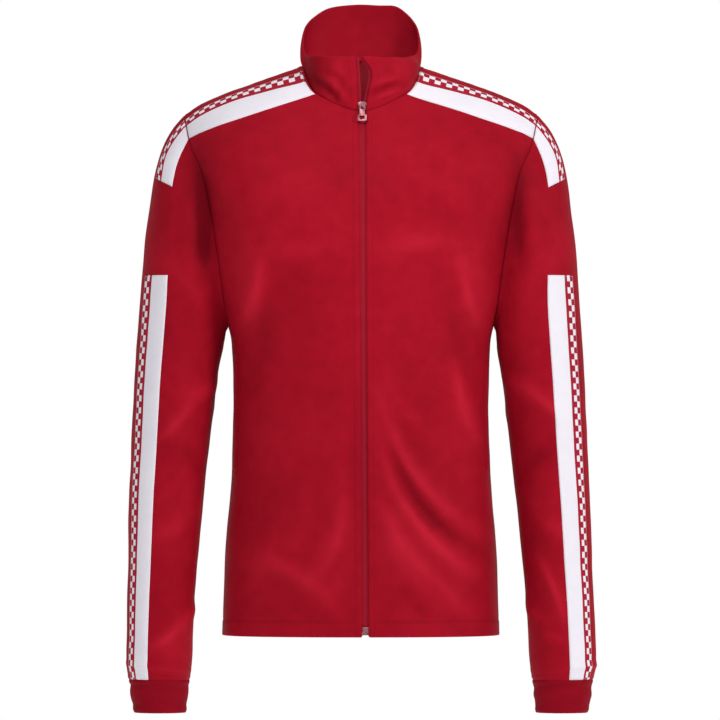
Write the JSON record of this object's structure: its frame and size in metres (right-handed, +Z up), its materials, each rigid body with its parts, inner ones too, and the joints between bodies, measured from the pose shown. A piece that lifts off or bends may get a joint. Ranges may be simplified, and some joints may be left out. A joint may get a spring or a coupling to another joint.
{
  "type": "track jacket",
  "caption": "Full-zip knit track jacket with stand collar, set-in sleeves, rib cuffs, shoulder and sleeve bands and side pockets, in its worn shape and empty inside.",
  "frame": {"origin": "middle of the neck opening at the height where the shoulder seams meet the collar", "axes": "+X to the wearer's left, -Y to the front, +Z up"},
  "size_m": [0.5854, 0.2328, 0.8911],
  "materials": {
    "jersey": "smooth polyester knit with a soft sheen",
    "rib": "fine rib knit",
    "band": "woven twill tape",
    "tape": "woven zip tape",
    "coil": "satin",
    "metal": "polished"
  },
  "bodies": {
    "garment": {"front_left": "jersey", "front_right": "jersey", "back": "jersey", "sleeve_left": "jersey", "sleeve_right": "jersey", "cuff_left": "rib", "cuff_right": "rib", "collar": "jersey", "shoulder_band_left": "band", "shoulder_band_right": "band", "cap_band_left": "band", "cap_band_right": "band", "sleeve_band_left": "band", "sleeve_band_right": "band", "pocket_welt_left": "jersey", "pocket_welt_right": "jersey", "zip_tape_left": "tape", "zip_tape_right": "tape", "zip_coil_left": "coil", "zip_coil_right": "coil", "zip_slider": "metal", "zip_box": "metal"},
    "pull": {"zip_pull": "metal"}
  },
  "joints": [
    {"name": "pull_hinge", "type": "hinge", "parent": "garment", "child": "pull", "pos_m": [0.00146, -0.07348, -0.05187], "axis": [-1, 0, 0], "range_deg": [0, 145]}
  ]
}
